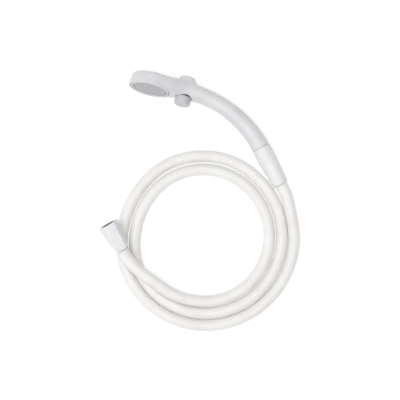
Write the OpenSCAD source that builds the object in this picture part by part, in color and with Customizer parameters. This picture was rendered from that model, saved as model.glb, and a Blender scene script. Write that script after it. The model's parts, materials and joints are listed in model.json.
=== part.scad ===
// Handheld shower head with a push-through stop valve, lying on its side beside its coiled hose.
// The handset has its own frame: origin at the centre of the spray face, +X towards the handle,
// +Z out of the back of the head.  place_handset() lays it down in the part's frame.

/* [Head] */
// Diameter of the head at the spray face
head_d = 55; // [48:0.5:66]
// Thickness of the head
head_h = 16.7; // [14:0.1:20]
// How far the head's wall leans in from face to back
head_draft = 1; // [0.5:0.1:3]
// Rounding of the head's back edge
head_round = 4.5; // [2:0.5:7]
// Thickness of the head's back wall
head_wall = 2.6; // [1.5:0.1:4]

/* [Handle] */
// Width of the neck under the stop valve
neck_w = 27; // [25:0.5:32]
// Height of the neck, from the spray side to the back
neck_h = 21.4; // [20:0.2:26]
// How far the neck's underside lies over the spray face
neck_lift = 1.1; // [0:0.1:3]
// Distance from the middle of the face to the end of the head's taper
neck_x = 52; // [46:1:62]
// Distance from the middle of the face to the start of the handle's bend
bend_x = 54; // [50:1:66]
// Radius of the handle's bend along its middle
bend_r = 139.5; // [110:0.5:180]
// Angle of the handle's bend
bend_a = 48.4; // [35:0.2:60]
// Diameter of the handle at its hose end
grip_d = 23.4; // [22:0.2:28]
// Bore of the handle
grip_bore = 14; // [8:0.5:15]

/* [Spray face] */
// Outer diameter of the ring that holds the spray plate
ring_d = 50.6; // [44:0.2:60]
// Width of the visible part of that ring
ring_w = 2.9; // [2:0.1:4]
// Depth of the ring
ring_h = 3.6; // [2.5:0.1:5]
// Thickness of the spray plate
plate_h = 2; // [1.5:0.1:3]
// Diameter of a spray hole
jet_d = 1.2; // [0.8:0.1:1.6]
// Number of circles of spray holes
jet_rings = 4; // [2:1:5]

/* [Stop valve] */
// Distance from the middle of the face to the valve's axis
valve_x = 44.5; // [42:0.5:50]
// Diameter of both buttons
button_d = 20.4; // [16:0.2:21]
// How far the lower button stands out of the neck
lower_out = 9.3; // [7:0.1:12]
// How far the upper button stands out of its collar
upper_out = 3.4; // [1:0.1:6]
// Height of the collar around the upper button
collar_h = 3.2; // [1:0.1:5]
// Travel of the buttons
travel = 5; // [3:0.5:6]
// Diameter of the valve rod
rod_d = 9.9; // [8:0.1:11]
// Outer diameter of the valve sleeve
sleeve_d = 15; // [13:0.5:15]
// Wall of the buttons
cap_wall = 2.2; // [1.5:0.1:2.4]
// Water passage from the handle to the head
port_d = 6; // [4:0.5:6]

/* [Hose joint] */
// Outside diameter of the G1/2 stub
thread_d = 20.85; // [20.5:0.05:21]
// Length of the stub's thread
thread_l = 11; // [9:0.5:13]
// Diameter of the stub's plug inside the handle
plug_d = 18; // [16:0.5:19]
// Length of that plug
plug_l = 14; // [10:1:20]
// Water bore of the stub
stub_bore = 12; // [9:0.5:13]
// Cone nut, diameter at the handle
cone_d1 = 24.4; // [24:0.2:30]
// Cone nut, diameter at the hose
cone_d2 = 19.8; // [19:0.2:24]
// Cone nut, widest diameter
cone_d = 24.8; // [24:0.2:30]
// Cone nut, distance from the handle to where it is widest
cone_x = 15; // [8:1:24]
// Cone nut, length
cone_l = 53.8; // [46:0.2:65]

/* [Hose] */
// Outside diameter of the hose
hose_d = 15.2; // [13:0.1:15.4]
// Bore of the hose at its ends
hose_bore = 9.4; // [8:0.1:10]
// Length of tail that sits in the hose
barb_l = 14; // [10:1:30]
// Diameter of a tail's flange
flange_d = 17.4; // [16:0.1:17.8]
// Thickness of a tail's flange
flange_h = 2.4; // [1.5:0.1:3]
// Water bore of the tails
tail_bore = 6.5; // [5:0.5:7]
// Thickness of the flat washers
washer_h = 2; // [1.5:0.1:3]
// Bore of the flat washers
washer_bore = 11; // [8:0.5:13]
// Depth of the strainer in the lower tail
strainer_h = 5; // [3:0.5:8]

/* [Wall nut] */
// Corner to corner size at the mouth
nut_d1 = 28; // [27.6:0.2:34]
// Corner to corner size at the hose
nut_d2 = 18.4; // [18.2:0.2:24]
// Length
nut_l = 37.6; // [34:0.2:46]
// Bore of the thread
nut_bore = 18.6; // [18.4:0.1:19]
// Outer diameter of the threaded brass insert
insert_d = 21.4; // [20.4:0.1:22]
// Depth of the thread
nut_thread_l = 11; // [9:0.5:11.5]
// Bore around the tail
nut_neck_bore = 11.4; // [11:0.1:13]

/* [Fits] */
// Radial clearance of a turning or sliding fit
run = 0.06; // [0.02:0.01:0.1]
// Gap between pieces that move apart
gap = 0.35; // [0.3:0.05:0.6]

/* [Hidden] */
$fn = 64;

white = "white";
grey = "silver";
black = [0.12, 0.12, 0.12];

// ---- places in the part's frame ----
head_pos = [-75.52, 51.46, 29.54];
head_turn = [-101.6, 8.85, -14.8];
// The coil lies beside the cone nut's end, and the wall nut rests on the coil
coil_off = [-95.40, -71.98];
nut_off = [-108.4, -11.2, 25.5];
nut_pitch = 8.4;
nut_yaw = 119.3;
nut_roll = 100;

// The coil's turns: radius from coil_pos and height above the surface, every 24 degrees clockwise
// seen from above, from just after the cone nut to just before the wall nut.
coil_start = -24;
coil_step = 24;
on_floor = hose_d / 2;
coil = [
    [115.5, 14], [113, 9.5], [111.5, 8], [110.5, on_floor], [110.5, on_floor],
    [111, on_floor], [111.5, on_floor], [112, on_floor], [111.5, on_floor], [110, on_floor],
    [110, on_floor], [111, on_floor], [109.5, on_floor], [107, on_floor], [103, on_floor],
    [100, on_floor], [97.5, on_floor], [95.5, on_floor], [95, on_floor], [95, on_floor],
    [95.5, on_floor], [96, on_floor], [96.5, on_floor], [95, on_floor], [93, on_floor],
    [93, on_floor], [93.3, on_floor], [91.8, on_floor], [89.3, on_floor], [86, on_floor],
    [83, on_floor], [80.8, on_floor], [79.2, on_floor], [78.8, on_floor], [79, 8.5],
    [79.7, 11], [82, 15.5], [87.5, 20.5]
];

// Cuts start this far outside what they cut, and run this far into the open
over = 1;
reach = 20;

// ---- small functions ----
function mix(a, b, t) = a + (b - a) * t;
function ease(t) = let (c = min(1, max(0, t))) c * c * (3 - 2 * c);
function unit(v) = v / norm(v);
function spin_x(p, a) = [p.x, p.y * cos(a) - p.z * sin(a), p.y * sin(a) + p.z * cos(a)];
function spin_y(p, a) = [p.x * cos(a) + p.z * sin(a), p.y, p.z * cos(a) - p.x * sin(a)];
function spin_z(p, a) = [p.x * cos(a) - p.y * sin(a), p.x * sin(a) + p.y * cos(a), p.z];
function handset_point(p) = head_pos
    + spin_z(spin_y(spin_x(p, head_turn.x), head_turn.y), head_turn.z);
function arc(centre, r, a0, a1, n) =
    [for (i = [0:n]) centre + r * [cos(mix(a0, a1, i / n)), sin(mix(a0, a1, i / n))]];

// ---- the handset's axis: straight along X, then bent towards the spray side ----
neck_mid = neck_h / 2 + neck_lift;
base_r = bend_r - neck_mid;
axis_l = bend_x + base_r * bend_a * PI / 180;
function bend_at(u) = max(0, u - bend_x) / base_r * 180 / PI;
function axis_at(u) = u < bend_x ? [u, 0, 0]
    : [bend_x + base_r * sin(bend_at(u)), 0, -base_r * (1 - cos(bend_at(u)))];
// A point at height h over the axis, y to the side, u along it
function on_axis(u, y, h) = axis_at(u) + [h * sin(bend_at(u)), y, h * cos(bend_at(u))];
// The middle of the handle's end, and the way the cone nut points there
stub_pos = on_axis(axis_l, 0, neck_mid);
module at_stub() { translate(stub_pos) rotate([0, 90 + bend_a, 0]) children(); }
function stub_point(d) = stub_pos + d * [cos(bend_a), 0, -sin(bend_a)];

cone_end = handset_point(stub_point(cone_l));
coil_pos = [cone_end.x + coil_off.x, cone_end.y + coil_off.y, 0];
nut_pos = coil_pos + nut_off;
module place_handset() { translate(head_pos) rotate(head_turn) children(); }
module place_wall_nut() {
    translate(nut_pos) rotate([0, 90 - nut_pitch, nut_yaw]) rotate([0, 0, nut_roll]) children();
}
nut_way = [cos(nut_pitch) * cos(nut_yaw), cos(nut_pitch) * sin(nut_yaw), sin(nut_pitch)];

// ---- body shell ----
head_r = head_d / 2;
recess_d = button_d + 2 * gap;
function taper_at(u) = ease((u - 4) / (neck_x - 4));
// The top rises to the neck sooner than the sides draw in
function rise_at(u) = ease((u - 4) / (neck_x - 16));
waist_x = neck_x + 22;
function grip_at(u) = mix(neck_h, grip_d, ease((u - waist_x) / (axis_l - waist_x)));
function half_width(u) = u < neck_x ? mix(head_r - 0.6, neck_w / 2, taper_at(u))
    : mix(neck_w, grip_at(u), ease((u - neck_x) / 30)) / 2;
function top_at(u) = u < neck_x ? mix(head_h, neck_mid + neck_h / 2, rise_at(u))
    : neck_mid + grip_at(u) / 2;
function bottom_at(u) = u < neck_x ? mix(0, neck_mid - neck_h / 2, taper_at(u))
    : neck_mid - grip_at(u) / 2;
// 2 is an ellipse, more is squarer
function squareness(u) = mix(4.5, 2, ease(u / (neck_x + 12)));
function power(v, e) = sign(v) * pow(abs(v), e);
body_sides = 36;
function body_ring(u) = [
    for (i = [0:body_sides - 1])
        let (a = i * 360 / body_sides, e = 2 / squareness(u), t = top_at(u), b = bottom_at(u))
        on_axis(u, -half_width(u) * power(cos(a), e), (t + b) / 2 + (t - b) / 2 * power(sin(a), e))
];
function skin(rings, sides) = [
    [for (i = [sides - 1:-1:0]) i],
    for (r = [0:rings - 2]) for (i = [0:sides - 1])
        let (a = r * sides + i, b = r * sides + (i + 1) % sides)
        each [[a, b, b + sides], [a, b + sides, a + sides]],
    [for (i = [0:sides - 1]) (rings - 1) * sides + i]
];
module body_loft() {
    stations = [for (u = [0:4:neck_x + 12]) u, for (i = [1:16]) mix(neck_x + 12, axis_l, i / 16)];
    rings = [for (u = stations) body_ring(u)];
    polyhedron(points = [for (r = rings) each r], faces = skin(len(rings), body_sides), convexity = 6);
}
module head_puck() {
    lip = 1.2;
    rotate_extrude() polygon(concat(
        [[0, 0]],
        arc([head_r - lip, lip], lip, -90, 0, 4),
        arc([head_r - head_draft - head_round, head_h - head_round], head_round, 0, 90, 6),
        [[0, head_h]]
    ));
}
module collar_rim() {
    foot = 3.2;
    top = neck_mid + neck_h / 2 + collar_h;
    rim_r = button_d / 2 + gap + 0.6;
    translate([valve_x, 0, 0]) rotate_extrude() polygon(concat(
        [[0, neck_mid]],
        [[rim_r + foot, neck_mid]],
        arc([rim_r + foot, top], foot, 240, 180, 5),
        [[0, top]]
    ));
}
ring_bore_d = ring_d + 2 * run;
chamber_d = ring_d - 2 * ring_w - 1;
seat_z = ring_h + 1;
chamber_top = head_h - head_wall;
// How far a button's skirt stands in the neck, and the room that it leaves over its travel
lower_in = 1;
upper_in = 3.2;
neck_low = neck_mid - neck_h / 2;
neck_top = neck_mid + neck_h / 2;
lower_seat = neck_low + lower_in + travel + gap;
upper_seat = neck_top - upper_in - gap;
module body_shell() {
    color(white) difference() {
        union() {
            head_puck();
            body_loft();
            collar_rim();
        }
        translate([0, 0, -over]) cylinder(d = ring_bore_d, h = over + seat_z);
        cylinder(d = chamber_d, h = chamber_top);
        // water way from the bend, past the valve, to the head
        translate([0, 0, neck_mid]) rotate([0, 90, 0]) cylinder(d = port_d, h = bend_x + over);
        translate([bend_x, 0, -base_r]) rotate([90, 0, 0]) rotate([0, 0, 90 - bend_a])
            rotate_extrude(angle = bend_a) translate([bend_r, 0]) circle(d = grip_bore);
        // the stub's seat
        at_stub() translate([0, 0, -plug_l]) cylinder(d = plug_d, h = plug_l + over);
        at_valve() valve_bore();
    }
}
// The sleeve's bore and the two button recesses
module valve_bore() {
    translate([0, 0, neck_low - reach]) cylinder(d = sleeve_d, h = 3 * reach);
    translate([0, 0, neck_low - reach]) cylinder(d = recess_d, h = lower_seat - neck_low + reach);
    translate([0, 0, upper_seat]) cylinder(d = recess_d, h = reach);
}

// ---- spray face ----
plate_z = 0.5;
plate_view_d = ring_d - 2 * ring_w;
plate_d = ring_d - 2.4;
rib_z = 1.4;
module tube(d, bore, h) {
    difference() {
        cylinder(d = d, h = h);
        translate([0, 0, -over]) cylinder(d = bore, h = h + 2 * over);
    }
}
module jets(h) {
    cylinder(d = jet_d, h = h);
    for (k = [1:jet_rings]) for (i = [0:6 * k - 1])
        rotate([0, 0, i * 60 / k + 15 * k]) translate([k * (plate_view_d / 2 - 3) / jet_rings, 0, 0])
            cylinder(d = jet_d, h = h);
}
module face_ring() {
    color(white) difference() {
        cylinder(d = ring_d, h = ring_h);
        translate([0, 0, -over]) cylinder(d = plate_view_d, h = ring_h + 2 * over);
        translate([0, 0, rib_z]) cylinder(d = plate_d, h = ring_h);
    }
}
module spray_plate() {
    color(grey) difference() {
        union() {
            translate([0, 0, plate_z]) cylinder(d = plate_view_d, h = rib_z + plate_h - plate_z);
            translate([0, 0, rib_z]) cylinder(d = plate_d, h = plate_h);
        }
        translate([0, 0, -over]) jets(rib_z + plate_h + 2 * over);
    }
}
gasket_d = plate_d - 0.4;
gasket_w = 2.3;
module plate_gasket() {
    color(black) translate([0, 0, rib_z + plate_h])
        tube(gasket_d, gasket_d - 2 * gasket_w, seat_z - gap - rib_z - plate_h);
}
module filter_disc() {
    color(grey) translate([0, 0, rib_z + plate_h + 0.1]) cylinder(d = gasket_d - 2 * gasket_w - 0.4, h = 0.6);
}
diffuser_h = 1.6;
module diffuser_holes(count, r) {
    for (i = [0:count - 1]) rotate([0, 0, i * 360 / count]) translate([r, 0, -over])
        cylinder(d = 2.4, h = diffuser_h + 2 * over);
}
module diffuser_plate() {
    color(white) translate([0, 0, seat_z + 0.8]) difference() {
        cylinder(d = chamber_d, h = diffuser_h);
        diffuser_holes(12, chamber_d / 2 - 4.3);
        diffuser_holes(6, chamber_d / 4);
    }
}

// ---- stop valve ----
module at_valve() { translate([valve_x, 0, 0]) children(); }
sleeve_port_d = port_d - 1;
groove_w = 1;
groove_depth = 0.8;
module sleeve_grooves(rim) {
    for (z = [lower_seat + 0.3, upper_seat - 0.3 - groove_w]) translate([0, 0, z])
        tube(sleeve_d + rim, sleeve_d - 2 * groove_depth, groove_w);
}
sleeve_l = upper_seat - lower_seat;
module valve_sleeve() {
    color(grey) at_valve() difference() {
        translate([0, 0, lower_seat]) tube(sleeve_d, rod_d + 2 * run, sleeve_l);
        translate([-sleeve_d, 0, neck_mid]) rotate([0, 90, 0]) cylinder(d = sleeve_port_d, h = 2 * sleeve_d);
        sleeve_grooves(over);
    }
}
module sleeve_seals() { color(black) at_valve() sleeve_grooves(0); }
lower_face = neck_low - lower_out;
upper_face = neck_top + collar_h + upper_out;
// The rod's waist lets the water past at rest, and the two seals lie each side of it
waist_depth = 2.5;
seal_w = 1.4;
seal_depth = 1;
module spool_grooves(rim) {
    for (z = [neck_mid - sleeve_port_d / 2 - 0.3 - seal_w, neck_mid + sleeve_port_d / 2 + 0.3])
        translate([0, 0, z]) tube(rod_d + rim, rod_d - 2 * seal_depth, seal_w);
}
spool_l = upper_face - lower_face - 2 * cap_wall;
module spool() {
    color(white) at_valve() difference() {
        translate([0, 0, lower_face + cap_wall]) cylinder(d = rod_d, h = spool_l);
        translate([0, 0, neck_mid - sleeve_port_d / 2])
            tube(rod_d + over, rod_d - 2 * waist_depth, sleeve_port_d);
        spool_grooves(over);
    }
}
module spool_seals() { color(black) at_valve() spool_grooves(0); }
button_round = 1.4;
boss_wall = 1.5;
module button_cup(h, boss) {
    difference() {
        rotate_extrude() polygon(concat(
            [[0, 0]],
            arc([button_d / 2 - button_round, button_round], button_round, -90, 0, 5),
            [[button_d / 2, h], [0, h]]
        ));
        translate([0, 0, cap_wall]) cylinder(d = button_d - 2 * cap_wall, h = h);
    }
    translate([0, 0, cap_wall]) tube(rod_d + 2 * boss_wall, rod_d, boss);
}
module lower_button() {
    color([0.87, 0.87, 0.9]) at_valve() translate([0, 0, lower_face])
        button_cup(lower_out + lower_in, lower_out - cap_wall);
}
module upper_button() {
    color(white) at_valve() translate([0, 0, upper_face]) mirror([0, 0, 1])
        button_cup(upper_out + collar_h + upper_in, upper_out + collar_h - cap_wall - gap);
}

// ---- hose joint: distances run from the handle's end along the cone nut ----
flange_z = thread_l + washer_h;
hose_in = flange_z + flange_h + 1;
module tail_spigot() {
    color(grey) at_stub() difference() {
        union() {
            translate([0, 0, -plug_l]) cylinder(d = plug_d, h = plug_l);
            cylinder(d = thread_d, h = thread_l);
        }
        translate([0, 0, -plug_l - over]) cylinder(d = stub_bore, h = plug_l + thread_l + 2 * over);
        plug_groove(over);
    }
}
module plug_groove(rim) { translate([0, 0, 3 - plug_l]) tube(plug_d + rim, plug_d - 2.4, 2); }
module spigot_seal() { color(black) at_stub() plug_groove(0); }
regulator_h = 5;
module flow_regulator() {
    color(grey) at_stub() translate([0, 0, -regulator_h]) difference() {
        cylinder(d = stub_bore, h = regulator_h);
        for (i = [0:5]) rotate([0, 0, 60 * i]) translate([0.28 * stub_bore, 0, -over])
            cylinder(d = 1.8, h = regulator_h + 2 * over);
    }
}
module upper_washer() {
    color(black) at_stub() translate([0, 0, thread_l]) tube(flange_d, washer_bore, washer_h);
}
// A hose tail: flange, neck and barbs, from z = 0 down the hose
module tail(neck) {
    difference() {
        union() {
            cylinder(d = flange_d, h = flange_h);
            cylinder(d = hose_bore + 1, h = flange_h + neck);
            cylinder(d = hose_bore, h = flange_h + neck + barb_l);
        }
        translate([0, 0, -over]) cylinder(d = tail_bore, h = flange_h + neck + barb_l + 2 * over);
    }
}
module upper_tail() { color(grey) at_stub() translate([0, 0, flange_z]) tail(1); }
slip_z = flange_z + flange_h;
slip_l = 1.2;
slip_w = 1;
hose_way_d = hose_d + 2 * gap;
slip_ring_d = hose_way_d + 2 * slip_w;
chamber_way_d = flange_d + 2 * gap;
slip_way_d = max(chamber_way_d, slip_ring_d + 2 * run);
module cone_slip_ring() {
    color(white) at_stub() translate([0, 0, slip_z + gap]) tube(slip_ring_d, hose_way_d, slip_l);
}
edge_round = 0.8;
module cone_nut() {
    color(white) at_stub() difference() {
        translate([0, 0, gap]) rotate_extrude() polygon(concat(
            [[0, 0], [cone_d1 / 2 - 0.4, 0], [cone_d1 / 2, 0.4], [cone_d / 2, cone_x]],
            arc([cone_d2 / 2 - edge_round, cone_l - gap - edge_round], edge_round, 0, 90, 4),
            [[0, cone_l - gap]]
        ));
        cylinder(d = thread_d + 2 * run, h = thread_l);
        cylinder(d = slip_way_d, h = slip_z + gap + slip_l);
        cylinder(d = hose_way_d, h = cone_l + over);
    }
}

// ---- hose ----
function coil_point(i) = let (a = coil_start + coil_step * i)
    [coil_pos.x + coil[i][0] * cos(a), coil_pos.y - coil[i][0] * sin(a), coil[i][1]];
coil_points = [for (i = [0:len(coil) - 1]) coil_point(i)];
lead = 14;
head_end = [for (d = [hose_in, hose_in + barb_l, cone_l, cone_l + lead]) handset_point(stub_point(d))];
wall_end = [for (d = [barb_l + 2, gap]) nut_pos - d * nut_way];
function halfway(p, i) = (9 * (p[i] + p[i + 1]) - p[max(0, i - 1)] - p[min(len(p) - 1, i + 2)]) / 16;
function refine(p) = [for (i = [0:len(p) - 1]) each i < len(p) - 1 ? [p[i], halfway(p, i)] : [p[i]]];
bent = concat([head_end[2], head_end[3]], coil_points, wall_end);
smooth_bent = refine(bent);
bends = [for (i = [2:len(smooth_bent) - 4]) smooth_bent[i]];
route = concat([head_end[0], head_end[1], head_end[2]], bends, wall_end);
hose_sides = 12;
function way(i) = i == 0 ? unit(route[1] - route[0])
    : i == len(route) - 1 ? nut_way
    : unit(unit(route[i + 1] - route[i]) + unit(route[i] - route[i - 1]));
function hose_ring(i) = let (t = way(i), side = unit(cross(t, [0, 0, 1])), up = cross(side, t))
    [for (k = [0:hose_sides - 1]) let (a = k * 360 / hose_sides)
        route[i] + hose_d / 2 * (cos(a) * side + sin(a) * up)];
module hose() {
    color("ivory") difference() {
        polyhedron(points = [for (i = [0:len(route) - 1]) each hose_ring(i)],
                   faces = skin(len(route), hose_sides), convexity = 10);
        place_handset() at_stub() translate([0, 0, hose_in - over])
            cylinder(d = hose_bore, h = barb_l + over);
        place_wall_nut() translate([0, 0, -gap - barb_l]) cylinder(d = hose_bore, h = barb_l + over);
    }
}

// ---- wall nut: z runs from its hose end to its mouth ----
seal_face = nut_l - nut_thread_l;
tail_top = seal_face - washer_h;
slip_ring_h = 1.6;
shoulder_z = tail_top - flange_h - slip_ring_h - gap - 0.25;
module lower_tail() {
    color(grey) place_wall_nut() difference() {
        union() {
            translate([0, 0, tail_top - flange_h]) cylinder(d = flange_d, h = flange_h);
            cylinder(d = hose_bore + 1, h = tail_top - over);
            translate([0, 0, -gap - barb_l]) cylinder(d = hose_bore, h = gap + barb_l + over);
        }
        translate([0, 0, -gap - barb_l - over]) cylinder(d = tail_bore, h = nut_l + barb_l);
    }
}
module lower_washer() {
    color(black) place_wall_nut() translate([0, 0, tail_top]) tube(flange_d, washer_bore, washer_h);
}
rim_h = 0.8;
module strainer() {
    color(grey) place_wall_nut() translate([0, 0, tail_top]) difference() {
        union() {
            cylinder(d = washer_bore - 0.2, h = rim_h);
            translate([0, 0, -strainer_h]) cylinder(d = tail_bore - 0.2, h = strainer_h);
        }
        translate([0, 0, rim_h - strainer_h]) cylinder(d = tail_bore - 1.4, h = strainer_h + over);
        for (i = [0:5]) rotate([0, 0, 60 * i]) translate([tail_bore / 4, 0, -strainer_h - over])
            cylinder(d = 0.8, h = rim_h + 2 * over);
    }
}
module wall_slip_ring() {
    color(white) place_wall_nut() translate([0, 0, shoulder_z + 0.1])
        tube(flange_d, nut_neck_bore, slip_ring_h);
}
// The nut's ends are turned round, so its six corners run out before they reach them
back_round = 1.6;
back_l = 4;
module wall_nut() {
    color(white) place_wall_nut() difference() {
        intersection() {
            cylinder(d1 = nut_d2, d2 = nut_d1, h = nut_l, $fn = 6);
            rotate_extrude() polygon([
                [0, 0], [nut_d2 / 2 - back_round, 0], [nut_d2 / 2 + 0.9, back_l],
                [nut_d1, 0.8 * nut_l], [nut_d1 / 2 - 0.2, nut_l], [0, nut_l]
            ]);
        }
        translate([0, 0, seal_face]) cylinder(d = insert_d, h = nut_thread_l + over);
        translate([0, 0, shoulder_z]) cylinder(d = chamber_way_d, h = nut_l);
        translate([0, 0, -over]) cylinder(d = nut_neck_bore, h = nut_l);
    }
}

module thread_insert() {
    color(grey) place_wall_nut() translate([0, 0, seal_face]) tube(insert_d, nut_bore, nut_thread_l);
}

place_handset() body_shell();
place_handset() diffuser_plate();
place_handset() filter_disc();
place_handset() plate_gasket();
place_handset() spray_plate();
place_handset() face_ring();
place_handset() valve_sleeve();
place_handset() sleeve_seals();
place_handset() spool();
place_handset() spool_seals();
place_handset() lower_button();
place_handset() upper_button();
place_handset() tail_spigot();
place_handset() spigot_seal();
place_handset() flow_regulator();
place_handset() upper_washer();
place_handset() upper_tail();
place_handset() cone_slip_ring();
place_handset() cone_nut();
hose();
lower_tail();
lower_washer();
strainer();
wall_slip_ring();
wall_nut();
thread_insert();
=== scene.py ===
"""A handheld shower head with its white hose coiled beside it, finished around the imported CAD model.

Each piece is worked out in millimetres in the frame of what it belongs to, the handset or one of the
two nuts, and is then put in its place in metres. The hose, which joins them, is worked out in metres.
"""

import json
import math

import bpy
import numpy as np
from mathutils import Matrix, Vector


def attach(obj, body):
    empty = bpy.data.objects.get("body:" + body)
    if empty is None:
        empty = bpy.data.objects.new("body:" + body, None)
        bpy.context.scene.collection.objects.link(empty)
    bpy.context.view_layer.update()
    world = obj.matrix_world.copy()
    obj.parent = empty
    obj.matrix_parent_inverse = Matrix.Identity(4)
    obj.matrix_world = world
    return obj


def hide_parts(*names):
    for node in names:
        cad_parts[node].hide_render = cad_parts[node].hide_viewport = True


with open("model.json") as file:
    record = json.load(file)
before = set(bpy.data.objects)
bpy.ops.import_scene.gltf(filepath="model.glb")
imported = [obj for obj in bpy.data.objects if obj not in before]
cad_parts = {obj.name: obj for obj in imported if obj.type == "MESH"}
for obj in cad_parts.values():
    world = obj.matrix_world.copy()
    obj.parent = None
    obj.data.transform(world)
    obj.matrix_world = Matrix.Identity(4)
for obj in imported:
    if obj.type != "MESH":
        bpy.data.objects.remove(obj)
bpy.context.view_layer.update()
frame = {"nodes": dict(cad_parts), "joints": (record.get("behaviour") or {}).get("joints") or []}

MM = 0.001
TURN = 2 * math.pi

# ---------------------------------------------------------------- sizes, in millimetres
HEAD_R, HEAD_H, HEAD_DRAFT, HEAD_ROUND, HEAD_WALL = 27.5, 16.7, 1, 4.5, 2.6
NECK_W, NECK_H, NECK_LIFT, NECK_X = 27, 21.4, 1.1, 52
BEND_X, BEND_R, BEND_A = 54, 139.5, math.radians(48.4)
GRIP_D, GRIP_BORE = 23.4, 14
RING_R, RING_W, RING_H = 25.3, 2.9, 3.6
PLATE_Z, RIB_Z, PLATE_H = 0.5, 1.4, 2
JET_RINGS, JET_D = 4, 1.2
VALVE_X, BUTTON_R, LOWER_OUT, UPPER_OUT, COLLAR_H = 44.5, 10.2, 9.3, 3.4, 3.2
LOWER_IN, UPPER_IN, TRAVEL, SLEEVE_R = 1, 3.2, 5, 7.5
PLUG_R, PLUG_L = 9, 14
THREAD_L, WASHER_H, FLANGE_H, FLANGE_R = 11, 2, 2.4, 8.7
CONE_D1, CONE_D2, CONE_D, CONE_X, CONE_L = 24.4, 19.8, 24.8, 15, 53.8
HOSE_R = 7.6
NUT_D1, NUT_D2, NUT_L = 28, 18.4, 37.6
NUT_BORE, NUT_THREAD_L, NUT_NECK_BORE, INSERT_R = 18.6, 11, 11.4, 10.7
NUT_ROLL = math.radians(100)
GAP = 0.35

# ---------------------------------------------------------------- places, from the frame's joints
joints = {joint["name"]: joint for joint in frame["joints"]}


def place_from(origin, x_way, z_way):
    """Millimetres in a frame with that origin, X and Z to metres in the row's frame."""
    x_way, z_way = Vector(x_way).normalized(), Vector(z_way).normalized()
    y_way = z_way.cross(x_way)
    turn = Matrix((x_way, y_way, z_way)).transposed().to_4x4()
    return Matrix.Translation(origin) @ turn @ Matrix.Scale(MM, 4)


face_centre = Vector(joints["spray_face_turn"]["pos_m"])
handset_z = -Vector(joints["spray_face_turn"]["axis"])
stub_centre = Vector(joints["cone_nut_turn"]["pos_m"])
stub_way = Vector(joints["cone_nut_turn"]["axis"])
along = stub_centre - face_centre
handset_x = along - handset_z * along.dot(handset_z)
HANDSET = place_from(face_centre, handset_x, handset_z)
STUB = place_from(stub_centre, HANDSET.to_3x3() @ Vector((0, 1, 0)), stub_way)

nut_centre = Vector(joints["wall_nut_turn"]["pos_m"])
nut_way = Vector(joints["wall_nut_turn"]["axis"])
nut_side = Vector((0, 0, 1)).cross(nut_way).normalized()
nut_up = nut_side.cross(nut_way).normalized()
nut_x = math.cos(NUT_ROLL) * nut_up + math.sin(NUT_ROLL) * nut_side
WALL_NUT = place_from(nut_centre, nut_x, nut_way)

# ---------------------------------------------------------------- camera
CAMERA_HEIGHT = 1.2
VIEW_WIDTH = 0.5235
VIEW_CENTRE = (-0.01125, -0.08942)


def make_camera():
    """Looks straight down on the coil, with the head at the upper left."""
    data = bpy.data.cameras.new("camera")
    data.lens = data.sensor_width * CAMERA_HEIGHT / VIEW_WIDTH
    camera = bpy.data.objects.new("camera", data)
    camera.location = (*VIEW_CENTRE, CAMERA_HEIGHT)
    bpy.context.scene.collection.objects.link(camera)
    bpy.context.scene.camera = camera


make_camera()


# ---------------------------------------------------------------- node helper and colours
def add(tree, kind, inputs=None, **settings):
    """Adds a node. An input's value is a number, a colour or the output socket that feeds it."""
    made = tree.nodes.new(kind)
    for name, value in settings.items():
        setattr(made, name, value)
    for name, value in (inputs or {}).items():
        if isinstance(value, bpy.types.NodeSocket):
            tree.links.new(value, made.inputs[name])
        else:
            made.inputs[name].default_value = value
    return made


def shade(code):
    """An sRGB hex value as a linear colour."""
    parts = [int(code[i:i + 2], 16) / 255 for i in (1, 3, 5)]
    return (*[c / 12.92 if c <= 0.04045 else ((c + 0.055) / 1.055) ** 2.4 for c in parts], 1)


# How far light travels under a glowing surface, in millimetres
GLOW_DEPTH = 8


def per_mm(size):
    """The scale at which a noise pattern's features are about that many millimetres wide."""
    return 1 / (size * MM)


def finish_of(name, light, dark, patch, rough, grain, depth, ior=None, metallic=0, glow=0):
    """A material whose colour drifts from light to dark over patches, with a fine surface grain.

    patch and grain are widths in millimetres, rough is the roughness range, depth is the grain's
    height in millimetres, and glow is how much of the light travels under the surface.
    """
    material = bpy.data.materials.new(name)
    material.use_nodes = True
    tree = material.node_tree
    surface = tree.nodes["Principled BSDF"]
    place = add(tree, "ShaderNodeTexCoord").outputs["Object"]
    drift = add(tree, "ShaderNodeTexNoise", {"Vector": place, "Scale": per_mm(patch), "Detail": 3})
    colours = add(tree, "ShaderNodeValToRGB", {"Fac": drift.outputs["Fac"]})
    for stop, position, colour in zip(colours.color_ramp.elements, (0.35, 0.6), (dark, light)):
        stop.position = position
        stop.color = shade(colour)
    spread = add(tree, "ShaderNodeMapRange", {
        "Value": drift.outputs["Fac"], "From Min": 0.3, "From Max": 0.7,
        "To Min": rough[0], "To Max": rough[1]})
    fine = add(tree, "ShaderNodeTexNoise", {"Vector": place, "Scale": per_mm(grain), "Detail": 2})
    bump = add(tree, "ShaderNodeBump", {
        "Height": fine.outputs["Fac"], "Strength": 0.35, "Distance": depth * MM})
    tree.links.new(colours.outputs["Color"], surface.inputs["Base Color"])
    tree.links.new(spread.outputs["Result"], surface.inputs["Roughness"])
    tree.links.new(bump.outputs["Normal"], surface.inputs["Normal"])
    surface.inputs["Metallic"].default_value = metallic
    surface.inputs["Subsurface Weight"].default_value = glow
    surface.inputs["Subsurface Radius"].default_value = (1, 1, 1)
    surface.inputs["Subsurface Scale"].default_value = GLOW_DEPTH * MM
    if ior is not None:
        surface.inputs["IOR"].default_value = ior
    return material


# ---------------------------------------------------------------- materials
# Glossy moulded ABS: hard white with a soft, even sheen and a faint ripple from the mould.
shell_white = finish_of(
    "ABS moulded gloss white", "#DAD9DB", "#D5D4D7", 30, (0.26, 0.34), 1.6, 0.02, ior=1.53)
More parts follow.
